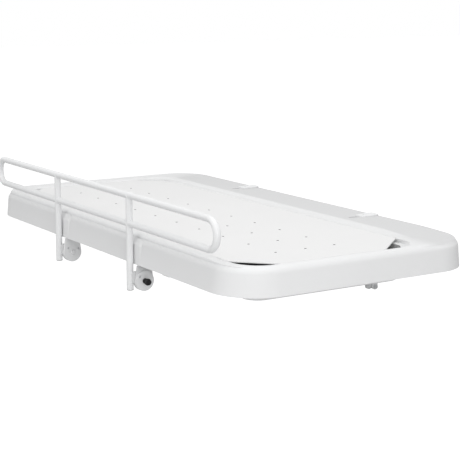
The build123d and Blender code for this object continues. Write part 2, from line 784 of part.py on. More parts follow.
def wall_brackets():
    for name, side in sides.items():
        p0, p1 = hinge_span(side, -wall_plate_half, wall_plate_half)
        plate = box(p0, p1, wall_face_y, wall_distance, wall_plate_low_z, wall_plate_top_z)
        plate = fillet(plate.edges().filter_by(Axis.Y), wall_plate_corner_r)
        inner = knuckle_outer + ear_gap
        e0, e1 = hinge_span(side, inner, inner + ear_thickness)
        ear = side_plate([(wall_face_y, ear_low_z), (wall_face_y, wall_plate_top_z),
                          (hinge_pin_y + knuckle_r, hinge_pin_z), (hinge_pin_y, hinge_pin_z),
                          (hinge_pin_y - knuckle_r, hinge_pin_z)], e0, e1)
        ear = ear + box(e0, e1, wall_face_y, wall_distance, ear_low_z, hinge_pin_z)
        ear = ear + rod_x(knuckle_r, e0, e1, hinge_pin_y, hinge_pin_z)
        ear = ear - rod_x(hinge_pin_r + pin_clearance, e0 - overrun, e1 + overrun,
                          hinge_pin_y, hinge_pin_z)
        foot = box(e0, e1, stop_y, wall_face_y, wall_plate_low_z, foot_top_z)
        foot = foot + box(e0, e1, stop_y - foot_r, stop_y + foot_r, stop_z, foot_top_z)
        foot = foot + rod_x(foot_r, e0, e1, stop_y, stop_z)
        foot = foot - rod_x(stop_bolt_r + pin_clearance, e0 - overrun, e1 + overrun, stop_y, stop_z)
        beyond = box(e0, e1, wall_distance, wall_distance + overrun, wall_plate_low_z - overrun,
                     hinge_pin_z + overrun)
        bracket = plate + (ear - beyond) + (foot - beyond)
        for x, z in bolt_places():
            bracket = bracket - rod_y(bolt_hole_r, wall_face_y - overrun, wall_distance + overrun, x, z)
        keep("wall_bracket_" + name, bracket)
        h0, h1 = hinge_span(side, -knuckle_inner, inner + ear_thickness)
        c0, c1 = hinge_span(side, inner + ear_thickness, inner + ear_thickness + hinge_head)
        pin = rod_x(hinge_pin_r, h0, h1, hinge_pin_y, hinge_pin_z)
        keep("hinge_pin_" + name, pin + rod_x(hinge_head_r, c0, c1, hinge_pin_y, hinge_pin_z))
        r0, r1 = hinge_span(side, -knuckle_inner, inner)
        roller = rod_x(stop_r, r0, r1, stop_y, stop_z)
        roller = roller - rod_x(stop_bolt_r + pin_clearance, r0 - overrun, r1 + overrun, stop_y, stop_z)
        keep("stop_buffer_" + name, roller)
        d0, d1 = hinge_span(side, inner + ear_thickness, inner + ear_thickness + stop_head)
        bolt = rod_x(stop_bolt_r, h0, h1, stop_y, stop_z)
        keep("stop_bolt_" + name, bolt + rod_x(stop_head_r, d0, d1, stop_y, stop_z))


def bolt_places():
    half = bolt_pitch_z / 2
    return [(hinge_x(side, -bolt_inset), bolt_mid_z + step) for side in (-1, 1)
            for step in (-half, half)]


# Hinge covers

def cover_screw(side, r):
    x = hinge_x(side, 0)
    return rod_z(r, rim_z - cover_screw_depth, rim_z + overrun, x, cover_screw_y)


def covers():
    for name, side in sides.items():
        x = hinge_x(side, 0)
        x0 = x - cover_half
        x1 = x + cover_half
        block = side_plate([(cover_front_y, rim_z), (cover_front_y, rim_z + cover_front_rise),
                            (cover_back_y, rim_z + cover_back_rise), (cover_back_y, rim_z)], x0, x1)
        plan = slab(x0, x1, cover_front_y, cover_back_y, cover_corner_r, rim_z, rim_z + overrun)
        cover = block & plan
        cover = fillet(cover.faces().sort_by(Axis.Z)[-1].edges(), cover_edge_r)
        slope = (cover_back_rise - cover_front_rise) / (cover_back_y - cover_front_y)
        top = rim_z + cover_front_rise + slope * (cover_screw_y - cover_front_y)
        cover = cover - cover_screw(side, cover_screw_r / 2 + fixing_seam)
        keep("hinge_cover_" + name, cover)
        seat = top + slope * cover_screw_r
        screw = rod_z(cover_screw_r, seat, seat + cover_screw_height, x, cover_screw_y)
        screw = screw + rod_z(cover_screw_r / 2, rim_z - cover_screw_depth, seat, x, cover_screw_y)
        keep("cover_screw_" + name, screw)


def export_all():
    os.makedirs("parts", exist_ok=True)
    place = Location((-hinge_mid_x, -wall_distance, -bolt_mid_z))
    for name, shape in made.items():
        solids = shape.solids()
        moved = [place * solid for solid in solids]
        whole = moved[0] if len(moved) == 1 else Compound(children=moved)
        export_step(whole, "parts/" + name + ".step")
        print(name, len(solids), round(sum(solid.volume for solid in solids)))


tray_shell()
basin_pan()
drain()
lying_sheet()
sheet_pads()
rail()
hub_left()
hub_right()
hinge_left()
hinge_right()
lock()
arms()
crossbars()
hinge_plates()
wall_brackets()
covers()
export_all()
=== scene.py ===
import json
import math

import bmesh
import bpy
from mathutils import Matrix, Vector

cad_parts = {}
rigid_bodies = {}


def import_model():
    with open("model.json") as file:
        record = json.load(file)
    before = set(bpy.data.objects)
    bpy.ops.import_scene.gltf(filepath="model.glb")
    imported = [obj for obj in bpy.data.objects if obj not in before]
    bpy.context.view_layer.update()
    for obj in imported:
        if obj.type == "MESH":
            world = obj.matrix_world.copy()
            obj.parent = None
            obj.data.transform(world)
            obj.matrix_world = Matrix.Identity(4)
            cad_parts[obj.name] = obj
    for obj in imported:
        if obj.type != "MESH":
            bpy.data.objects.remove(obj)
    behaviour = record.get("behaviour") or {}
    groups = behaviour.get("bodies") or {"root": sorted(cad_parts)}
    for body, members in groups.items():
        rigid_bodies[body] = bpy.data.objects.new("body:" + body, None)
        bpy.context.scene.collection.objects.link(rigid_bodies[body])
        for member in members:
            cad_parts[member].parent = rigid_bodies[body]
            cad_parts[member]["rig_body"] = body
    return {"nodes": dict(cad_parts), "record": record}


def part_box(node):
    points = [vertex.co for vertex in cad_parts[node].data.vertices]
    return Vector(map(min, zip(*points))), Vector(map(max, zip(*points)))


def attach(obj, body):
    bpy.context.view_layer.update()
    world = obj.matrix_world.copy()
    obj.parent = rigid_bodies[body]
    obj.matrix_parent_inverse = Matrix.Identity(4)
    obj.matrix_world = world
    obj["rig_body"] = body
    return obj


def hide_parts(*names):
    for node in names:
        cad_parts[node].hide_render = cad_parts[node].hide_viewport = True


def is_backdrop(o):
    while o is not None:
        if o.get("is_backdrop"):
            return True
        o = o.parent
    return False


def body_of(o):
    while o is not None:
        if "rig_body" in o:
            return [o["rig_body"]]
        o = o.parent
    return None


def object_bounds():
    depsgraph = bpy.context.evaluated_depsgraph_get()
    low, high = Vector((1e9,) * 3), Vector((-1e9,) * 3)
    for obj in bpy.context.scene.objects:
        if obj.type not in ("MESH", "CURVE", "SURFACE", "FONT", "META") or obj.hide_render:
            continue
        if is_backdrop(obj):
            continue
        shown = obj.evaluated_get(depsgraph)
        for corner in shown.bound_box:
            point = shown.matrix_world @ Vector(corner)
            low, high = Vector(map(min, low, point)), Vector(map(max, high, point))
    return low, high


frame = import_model()
cad_low, cad_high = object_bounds()
nodes = frame["nodes"]

# Camera, fitted to the photograph, in metres and degrees (lens and sensor in millimetres)
camera_place = (2.9911, -2.2007, 0.7259)
camera_turn_deg = 31.91
camera_drop_deg = 10.69
camera_lens = 99.97
camera_sensor = 36.0
camera_shift_x = 0.0185

# Rounding of edges: faces that differ by less than the first angle are joined, and edges sharper
# than the second are rounded. All lengths from here on are in metres
ease_flat_deg = 0.6
ease_sharp_deg = 32.0
ease_segments = 2
merge_reach = 0.00001

# Welds of the side rail
weld_radius = 0.0013
weld_pitch = 0.0011
weld_change = 0.12
weld_seed = 3
weld_line_steps = 48
hub_weld_heights = (0.024, 0.048)
hub_weld_path_shares = ((1.0, 0.0), (0.92, 0.39), (0.75, 0.66))

# Head radius, head height, shank radius and shank length of the three kinds of screw
plate_screw = (0.005, 0.003, 0.0025, 0.0064)
cover_screw = (0.0024, 0.0005, 0.0012, 0.012)
disc_screw = (0.0028, 0.0014, 0.0015, 0.0021)
disc_screw_ring = 0.019
disc_screw_turns_deg = (137, 29)

# Form of a screw in shares of its head's height or radius, and the seeds of their turns
screw_rim_share = 0.45
screw_dome_share = 0.55
screw_top_share = 0.72
screw_socket_share = 0.45
screw_socket_depth_share = 1.2
screw_seeds = {"neck_screws_left": 11, "neck_screws_right": 12, "cover_screw_left": 15,
               "cover_screw_right": 16, "disc_screws_left": 21, "disc_screw_right": 22}

# Ribs under the rear deck: their outline is told in front of the tray's back and over its foot
rib_thickness = 0.003
rib_pitch = 0.064
rib_top = 0.0664
rib_first = 0.130
rib_last = 0.120
rib_room_left = 0.012
rib_room_right = 0.022
rib_outline = ((0.1632, rib_top), (0.0240, rib_top), (0.0175, 0.0649), (0.0125, 0.0608),
               (0.0092, 0.0550), (0.0082, 0.0495), (0.0066, 0.0310), (0.0300, 0.0310),
               (0.1100, 0.0440), (0.1632, 0.0480))

# Slots in front of the hinge covers, whose walls get painted shade: half their width, their run
# forward and their heights
slot_reach = 0.0063
slot_run = 0.033
slot_low = 0.100
slot_high = 0.1165
slot_soft = 0.0005

# Surface: scale and detail of the broad change of tone, the grain and the settled film, the slope
# from which the film lies and the depth of the grain
broad_scale = 5.0
broad_detail = 4.0
grain_detail = 3.0
film_scale = 11.0
film_detail = 6.0
film_from = 0.2
grain_depth = 0.0005

# Painted shade on the rear deck, darker than the rest of the tray as if turned away from the light:
# low corner, high corner and soft rim of each patch. A slope is the Z part of a face's normal: the
# painted shade comes in between the first and the second
rear_deck_shade_colour = (0.615, 0.617, 0.620)
rear_deck_shade_slope = (0.55, 0.92)
rear_deck_shade_patches = (((-0.600, -0.148, 0.05), (0.600, 0.030, 0.16), 0.012),
                     ((0.520, -0.190, 0.03), (0.800, 0.050, 0.20), 0.070),
                     ((-0.670, -0.170, 0.03), (-0.500, 0.050, 0.20), 0.080))

# Painted shade on upright faces inside the sheet's holes and the slots
hole_shade_colour = (0.08, 0.08, 0.085)
hole_shade_slope = (0.75, 0.45)
hole_shade_patch = ((-0.515, -0.56, 0.09), (0.575, -0.34, 0.13), 0.004)

# Knob: its profile is told in shares of its length and radius, and the flutes come in where the
# radius passes the given share
knob_flutes = 6
knob_flute_depth = 0.0012
knob_flute_steps = 20
knob_flute_from_share = 0.9
knob_flute_run_share = 0.1
knob_profile_shares = ((0.0, 0.0), (0.0, 0.30), (0.0, 0.80), (0.02, 0.88), (0.07, 0.95), (0.16, 0.99),
                       (0.30, 1.0), (0.70, 1.0), (0.84, 0.99), (0.93, 0.94), (0.98, 0.86), (1.0, 0.74),
                       (0.985, 0.60), (0.955, 0.45), (0.945, 0.0))

# Width of the rounded edges of each piece that is shaded smooth
eased_widths = {
    "tray_shell": 0.0, "lying_sheet": 0.0, "hinge_cover_left": 0.0005, "hinge_cover_right": 0.0005,
    "wall_bracket_left": 0.0008, "wall_bracket_right": 0.0008, "hinge_plate_left": 0.0008,
    "hinge_plate_right": 0.0008, "rail_hub_left": 0.0005, "rail_hub_right": 0.0004,
    "rail_hinge_plate_left": 0.0007, "rail_hinge_plate_right": 0.0005, "index_disc_right": 0.0005,
    "frame_arm_left": 0.0007, "frame_arm_right": 0.0007, "front_strap_left": 0.0007,
    "front_strap_right": 0.0007, "front_crossbar": 0.0007, "rear_crossbar": 0.0007, "drain_nut": 0.0006,
    "drain_body": 0.0004, "post_end_plug_left": 0.0003, "post_end_plug_right": 0.0003}

# Floor and light
floor_drop = 0.78
floor_half = 30.0
floor_colour = (0.55, 0.55, 0.55, 1.0)
floor_rough = 0.9
floor_lift = 0.69
world_colour = (1.0, 1.0, 1.0, 1.0)
world_strength = 0.62

# Name, place, target, size in metres and power in watts of each lamp
lamps = (("lamp_over", (0.3, -0.5, 2.6), (0.0, -0.36, 0.0), 2.6, 37.5),
         ("lamp_right", (3.1, -1.5, 0.5), (0.1, -0.4, 0.0), 1.6, 35.5),
         ("lamp_front", (-0.5, -3.4, 0.7), (0.0, -0.36, 0.0), 1.8, 18.0))


# Shader groups

def new_group(name, inputs, outputs):
    group = bpy.data.node_groups.new(name, "ShaderNodeTree")
    for label, kind, value in inputs:
        socket = group.interface.new_socket(name=label, in_out="INPUT", socket_type=kind)
        socket.default_value = value
    for label, kind in outputs:
        group.interface.new_socket(name=label, in_out="OUTPUT", socket_type=kind)
    start = group.nodes.new("NodeGroupInput")
    end = group.nodes.new("NodeGroupOutput")
    return group, start, end


def moulded_group():
    """Fine orange peel of moulded plastic or powder coat, with a faint change of tone."""
    group, start, end = new_group(
        "moulded_surface",
        [("Colour", "NodeSocketColor", (0.8, 0.8, 0.8, 1.0)), ("Tone Change", "NodeSocketFloat", 0.04),
         ("Grain Scale", "NodeSocketFloat", 900.0), ("Roughness", "NodeSocketFloat", 0.35),
         ("Roughness Change", "NodeSocketFloat", 0.1)],
        [("Colour", "NodeSocketColor"), ("Roughness", "NodeSocketFloat"), ("Height", "NodeSocketFloat")])
    links = group.links
    place = group.nodes.new("ShaderNodeTexCoord")
    broad = group.nodes.new("ShaderNodeTexNoise")
    broad.inputs["Scale"].default_value = broad_scale
    broad.inputs["Detail"].default_value = broad_detail
    links.new(place.outputs["Object"], broad.inputs["Vector"])
    grain = group.nodes.new("ShaderNodeTexNoise")
    grain.inputs["Detail"].default_value = grain_detail
    links.new(place.outputs["Object"], grain.inputs["Vector"])
    links.new(start.outputs["Grain Scale"], grain.inputs["Scale"])
    shade = group.nodes.new("ShaderNodeMath")
    shade.operation = "MULTIPLY"
    links.new(broad.outputs["Fac"], shade.inputs[0])
    links.new(start.outputs["Tone Change"], shade.inputs[1])
    keep = group.nodes.new("ShaderNodeMath")
    keep.operation = "SUBTRACT"
    keep.inputs[0].default_value = 1.0
    links.new(shade.outputs[0], keep.inputs[1])
    tint = group.nodes.new("ShaderNodeVectorMath")
    tint.operation = "SCALE"
    links.new(start.outputs["Colour"], tint.inputs[0])
    links.new(keep.outputs[0], tint.inputs["Scale"])
    links.new(tint.outputs[0], end.inputs["Colour"])
    rough = group.nodes.new("ShaderNodeMath")
    rough.operation = "MULTIPLY_ADD"
    links.new(grain.outputs["Fac"], rough.inputs[0])
    links.new(start.outputs["Roughness Change"], rough.inputs[1])
    links.new(start.outputs["Roughness"], rough.inputs[2])
    links.new(rough.outputs[0], end.inputs["Roughness"])
    links.new(grain.outputs["Fac"], end.inputs["Height"])
    return group


def dust_group():
    """A thin film that settles on faces that look up and in broken patches."""
    group, start, end = new_group(
        "settled_film",
        [("Colour", "NodeSocketColor", (0.8, 0.8, 0.8, 1.0)),
         ("Film Colour", "NodeSocketColor", (0.7, 0.69, 0.66, 1.0)), ("Amount", "NodeSocketFloat", 0.1)],
        [("Colour", "NodeSocketColor"), ("Mask", "NodeSocketFloat")])
    links = group.links
    place = group.nodes.new("ShaderNodeTexCoord")
    split = group.nodes.new("ShaderNodeSeparateXYZ")
    links.new(place.outputs["Normal"], split.inputs[0])
    patch = group.nodes.new("ShaderNodeTexNoise")
    patch.inputs["Scale"].default_value = film_scale
    patch.inputs["Detail"].default_value = film_detail
    links.new(place.outputs["Object"], patch.inputs["Vector"])
    up = group.nodes.new("ShaderNodeMapRange")
    up.inputs["From Min"].default_value = film_from
    links.new(split.outputs["Z"], up.inputs["Value"])
    both = group.nodes.new("ShaderNodeMath")
    both.operation = "MULTIPLY"
    links.new(up.outputs[0], both.inputs[0])
    links.new(patch.outputs["Fac"], both.inputs[1])
    amount = group.nodes.new("ShaderNodeMath")
    amount.operation = "MULTIPLY"
    amount.use_clamp = True
    links.new(both.outputs[0], amount.inputs[0])
    links.new(start.outputs["Amount"], amount.inputs[1])
    mix = group.nodes.new("ShaderNodeMix")
    mix.data_type = "RGBA"
    links.new(amount.outputs[0], mix.inputs["Factor"])
    links.new(start.outputs["Colour"], mix.inputs["A"])
    links.new(start.outputs["Film Colour"], mix.inputs["B"])
    links.new(mix.outputs["Result"], end.inputs["Colour"])
    links.new(amount.outputs[0], end.inputs["Mask"])
    return group


def place_group():
    """A mask that is 1 where a point lies inside a box and its face lies level by a set amount."""
    group, start, end = new_group(
        "box_and_slope",
        [("Low", "NodeSocketVector", (0.0, 0.0, 0.0)), ("High", "NodeSocketVector", (1.0, 1.0, 1.0)),
         ("Soft", "NodeSocketFloat", 0.01), ("Slope From", "NodeSocketFloat", 0.5),
         ("Slope To", "NodeSocketFloat", 0.9)],
        [("Mask", "NodeSocketFloat")])
    links = group.links
    place = group.nodes.new("ShaderNodeTexCoord")
    facing = group.nodes.new("ShaderNodeSeparateXYZ")
    links.new(place.outputs["Normal"], facing.inputs[0])
    level = group.nodes.new("ShaderNodeMath")
    level.operation = "ABSOLUTE"
    links.new(facing.outputs["Z"], level.inputs[0])
    slope = group.nodes.new("ShaderNodeMapRange")
    links.new(level.outputs[0], slope.inputs["Value"])
    links.new(start.outputs["Slope From"], slope.inputs["From Min"])
    links.new(start.outputs["Slope To"], slope.inputs["From Max"])
    mask = slope.outputs[0]
    for first, second in (("Object", "Low"), ("High", "Object")):
        gap = group.nodes.new("ShaderNodeVectorMath")
        gap.operation = "SUBTRACT"
        for socket, label in ((0, first), (1, second)):
            source = place.outputs["Object"] if label == "Object" else start.outputs[label]
            links.new(source, gap.inputs[socket])
        parts = group.nodes.new("ShaderNodeSeparateXYZ")
        links.new(gap.outputs[0], parts.inputs[0])
        for axis in "XYZ":
            inside = group.nodes.new("ShaderNodeMapRange")
            inside.interpolation_type = "SMOOTHSTEP"
            links.new(parts.outputs[axis], inside.inputs["Value"])
            links.new(start.outputs["Soft"], inside.inputs["From Max"])
            both = group.nodes.new("ShaderNodeMath")
            both.operation = "MULTIPLY"
            links.new(mask, both.inputs[0])
            links.new(inside.outputs[0], both.inputs[1])
            mask = both.outputs[0]
    links.new(mask, end.inputs["Mask"])
    return group


moulded = moulded_group()
film = dust_group()
box_and_slope = place_group()


def finish_material(name, colour, tone=0.04, grain=900.0, rough=0.35, rough_change=0.1, bump=0.02,
                    dust=0.05, metallic=0.0, coat=0.0, coat_rough=0.1, specular=0.5):
    """A finish made of the moulded surface, a bump and the settled film."""
    material = bpy.data.materials.new(name)
    material.use_nodes = True
    tree = material.node_tree
    shader = tree.nodes["Principled BSDF"]
    surface = tree.nodes.new("ShaderNodeGroup")
    surface.node_tree = moulded
    surface.inputs["Colour"].default_value = (*colour, 1.0)
    surface.inputs["Tone Change"].default_value = tone
    surface.inputs["Grain Scale"].default_value = grain
    surface.inputs["Roughness"].default_value = rough
    surface.inputs["Roughness Change"].default_value = rough_change
    cover = tree.nodes.new("ShaderNodeGroup")
    cover.node_tree = film
    cover.inputs["Amount"].default_value = dust
    tree.links.new(surface.outputs["Colour"], cover.inputs["Colour"])
    tree.links.new(cover.outputs["Colour"], shader.inputs["Base Color"])
    tree.links.new(surface.outputs["Roughness"], shader.inputs["Roughness"])
    relief = tree.nodes.new("ShaderNodeBump")
    relief.inputs["Strength"].default_value = bump
    relief.inputs["Distance"].default_value = grain_depth
    tree.links.new(surface.outputs["Height"], relief.inputs["Height"])
    tree.links.new(relief.outputs["Normal"], shader.inputs["Normal"])
    shader.inputs["Metallic"].default_value = metallic
    shader.inputs["Specular IOR Level"].default_value = specular
    shader.inputs["Coat Weight"].default_value = coat
    shader.inputs["Coat Roughness"].default_value = coat_rough
    return material


def add_patch(material, colour, low, high, soft, slope):
    """Blends a second colour into a finish inside a box, on faces of a given slope."""
    tree = material.node_tree
    shader = tree.nodes["Principled BSDF"]
    link = shader.inputs["Base Color"].links[0]
    before = link.from_socket
    tree.links.remove(link)
    mask = tree.nodes.new("ShaderNodeGroup")
    mask.node_tree = box_and_slope
    mask.inputs["Low"].default_value = low
    mask.inputs["High"].default_value = high
    mask.inputs["Soft"].default_value = soft
    mask.inputs["Slope From"].default_value = slope[0]
    mask.inputs["Slope To"].default_value = slope[1]
    mix = tree.nodes.new("ShaderNodeMix")
    mix.data_type = "RGBA"
    tree.links.new(mask.outputs["Mask"], mix.inputs["Factor"])
    tree.links.new(before, mix.inputs["A"])
    mix.inputs["B"].default_value = (*colour, 1.0)
    tree.links.new(mix.outputs["Result"], shader.inputs["Base Color"])


# Finishes

finishes = {
    "tray_white": finish_material("tray_satin_white", (0.740, 0.743, 0.747), rough=0.46, bump=0.03,
                                  specular=0.16),
    "pan_white": finish_material("pan_satin_white", (0.74, 0.743, 0.747), rough=0.5, specular=0.16),
    "sheet_white": finish_material("sheet_satin_white", (0.77, 0.77, 0.77), rough=0.55, bump=0.06,
                                   grain=1500.0, specular=0.16),
    "cover_white": finish_material("cover_white", (0.76, 0.765, 0.77), rough=0.42),
    "rail_white": finish_material("rail_powder_white", (0.75, 0.755, 0.76), rough=0.38, bump=0.08,
                                  grain=1200.0, coat=0.1),
    "plate_grey": finish_material("plate_powder_grey", (0.76, 0.765, 0.77), rough=0.45, bump=0.08),
    "hub_dark": finish_material("hub_powder_grey", (0.64, 0.645, 0.65), rough=0.45, bump=0.08),
    "frame_grey": finish_material("frame_powder_grey", (0.52, 0.525, 0.53), rough=0.5, bump=0.1),
    "bracket_grey": finish_material("bracket_powder_grey", (0.64, 0.645, 0.65), rough=0.5, bump=0.1),
    "knob_black": finish_material("knob_black", (0.008, 0.008, 0.009), rough=0.55, bump=0.1,
                                  specular=0.3),
    "plug_dark": finish_material("plug_black", (0.03, 0.03, 0.03), rough=0.55),
    "zinc_steel": finish_material("zinc_plate", (0.60, 0.61, 0.62), rough=0.28, metallic=1.0),
    "drain_steel": finish_material("drain_polished", (0.70, 0.70, 0.71), rough=0.15, metallic=1.0),
    "drain_plastic": finish_material("drain_grey_plastic", (0.55, 0.55, 0.54), rough=0.45),
    "buffer_rubber": finish_material("buffer_rubber", (0.02, 0.02, 0.02), rough=0.75, bump=0.1),
}

# Painted shade: the rear deck is darkened against the rest of the tray, more softly so at its two
# ends, and the upright faces in the holes of the sheet and the slots in front of the hinge covers are
# painted dark as shade that falls inside them
for patch in rear_deck_shade_patches:
    add_patch(finishes["tray_white"], rear_deck_shade_colour, *patch, rear_deck_shade_slope)
add_patch(finishes["sheet_white"], hole_shade_colour, *hole_shade_patch, hole_shade_slope)
for side in ("left", "right"):
    low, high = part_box("hinge_cover_" + side)
    middle = (low.x + high.x) / 2
    add_patch(finishes["tray_white"], hole_shade_colour, (middle - slot_reach, low.y - slot_run, slot_low),
              (middle + slot_reach, low.y, slot_high), slot_soft, hole_shade_slope)

slot_of = {part["node"]: part["material_slot"] for part in frame["record"]["subparts"]}
for name, node in nodes.items():
    node.data.materials.clear()
    node.data.materials.append(finishes[slot_of[name]])
pin_finish = finish_material("pin_cap_grey", (0.74, 0.745, 0.75), rough=0.4)
nodes["pivot_pin_left"].data.materials[0] = pin_finish


# Detail pieces

def add_object(name, mesh):
    thing = bpy.data.objects.new(name, mesh)
    bpy.context.scene.collection.objects.link(thing)
    return thing


def settle(thing, name):
    """A plain mesh object from one with live modifiers, which is removed."""
    bpy.context.view_layer.update()
    ready = thing.evaluated_get(bpy.context.evaluated_depsgraph_get())
    mesh = bpy.data.meshes.new_from_object(ready)
    mesh.name = name
    old = thing.data
    bpy.data.objects.remove(thing)
    if isinstance(old, bpy.types.Mesh):
        bpy.data.meshes.remove(old)
    return add_object(name, mesh)


def hand_over(piece, node_name, stands_for=()):
    """The piece rides with a node's body and stands for the named nodes."""
    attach(piece, body_of(nodes[node_name])[0])
    if stands_for:
        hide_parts(*stands_for)


def eased(node_name, width):
    """A copy of a node with its triangles joined, its sharp edges rounded and smooth shading."""
    name = node_name + "_eased"
    mesh = nodes[node_name].data.copy()
    work = bmesh.new()
    work.from_mesh(mesh)
    bmesh.ops.remove_doubles(work, verts=work.verts, dist=merge_reach)
    bmesh.ops.dissolve_limit(work, angle_limit=math.radians(ease_flat_deg), verts=work.verts,
                             edges=work.edges)
    work.to_mesh(mesh)
    work.free()
    for layer in list(mesh.attributes):
        if layer.name in ("custom_normal", "sharp_face"):
            mesh.attributes.remove(layer)
    thing = add_object(name, mesh)
    if width > 0:
        round_edges = thing.modifiers.new("round_edges", "BEVEL")
        round_edges.width = width
        round_edges.segments = ease_segments
        round_edges.limit_method = "ANGLE"
        round_edges.angle_limit = math.radians(ease_sharp_deg)
        round_edges.miter_outer = "MITER_ARC"
    thing = settle(thing, name)
    thing.data.shade_smooth()
    thing.data.set_sharp_from_angle(angle=math.radians(ease_sharp_deg))
    even = thing.modifiers.new("even_shading", "WEIGHTED_NORMAL")
    even.keep_sharp = True
    thing = settle(thing, name)
    thing.data.materials.clear()
    thing.data.materials.append(finishes[slot_of[node_name]])
    hand_over(thing, node_name, (node_name,))


def new_tree(name, inputs):
    """A Geometry Nodes tree with a geometry in and out and named inputs for its sizes."""
    tree = bpy.data.node_groups.new(name, "GeometryNodeTree")
    tree.interface.new_socket(name="Geometry", in_out="INPUT", socket_type="NodeSocketGeometry")
    for label, kind, value in inputs:
        socket = tree.interface.new_socket(name=label, in_out="INPUT", socket_type=kind)
        if value is not None:
            socket.default_value = value
    tree.interface.new_socket(name="Geometry", in_out="OUTPUT", socket_type="NodeSocketGeometry")
    start = tree.nodes.new("NodeGroupInput")
    end = tree.nodes.new("NodeGroupOutput")
    return tree, start, end


def finish_tree(tree, start, end, geometry):
    """The tree's last two steps: real geometry instead of instances, and its material."""
    real = tree.nodes.new("GeometryNodeRealizeInstances")
    dress = tree.nodes.new("GeometryNodeSetMaterial")
    tree.links.new(geometry, real.inputs["Geometry"])
    tree.links.new(real.outputs["Geometry"], dress.inputs["Geometry"])
    tree.links.new(start.outputs["Material"], dress.inputs["Material"])
    tree.links.new(dress.outputs["Geometry"], end.inputs["Geometry"])


def grow(name, mesh, tree, values):
    """Runs a tree on a mesh with the given values for its named inputs and returns the plain mesh."""
    thing = add_object(name, mesh)
    modifier = thing.modifiers.new(tree.name, "NODES")
    modifier.node_group = tree
    for item in tree.interface.items_tree:
        if item.item_type == "SOCKET" and item.in_out == "INPUT" and item.name in values:
            modifier[item.identifier] = values[item.name]
    return settle(thing, name)


def weld_tree():
    """A run of small overlapping beads along an edge line."""
    tree, start, end = new_tree("weld_bead", [
        ("Pitch", "NodeSocketFloat", weld_pitch), ("Radius", "NodeSocketFloat", weld_radius),
        ("Change", "NodeSocketFloat", weld_change), ("Seed", "NodeSocketInt", weld_seed),
        ("Material", "NodeSocketMaterial", None)])
    line = tree.nodes.new("GeometryNodeMeshToCurve")
    even = tree.nodes.new("GeometryNodeResampleCurve")
    even.mode = "LENGTH"
    bead = tree.nodes.new("GeometryNodeMeshIcoSphere")
    bead.inputs["Subdivisions"].default_value = 2
    smooth = tree.nodes.new("GeometryNodeSetShadeSmooth")
    place = tree.nodes.new("GeometryNodeInstanceOnPoints")
    vary = tree.nodes.new("FunctionNodeRandomValue")
    least = tree.nodes.new("ShaderNodeMath")
    least.operation = "SUBTRACT"
    least.inputs[0].default_value = 1.0
    links = tree.links
    links.new(start.outputs["Geometry"], line.inputs["Mesh"])
    links.new(line.outputs["Curve"], even.inputs["Curve"])
    links.new(start.outputs["Pitch"], even.inputs["Length"])
    links.new(start.outputs["Radius"], bead.inputs["Radius"])
    links.new(bead.outputs["Mesh"], smooth.inputs["Geometry"])
    links.new(even.outputs["Curve"], place.inputs["Points"])
    links.new(smooth.outputs["Geometry"], place.inputs["Instance"])
    links.new(start.outputs["Change"], least.inputs[1])
    links.new(least.outputs[0], vary.inputs[2])
    vary.inputs[3].default_value = 1.0
    links.new(start.outputs["Seed"], vary.inputs["Seed"])
    links.new(vary.outputs[1], place.inputs["Scale"])
    finish_tree(tree, start, end, place.outputs["Instances"])
    return tree


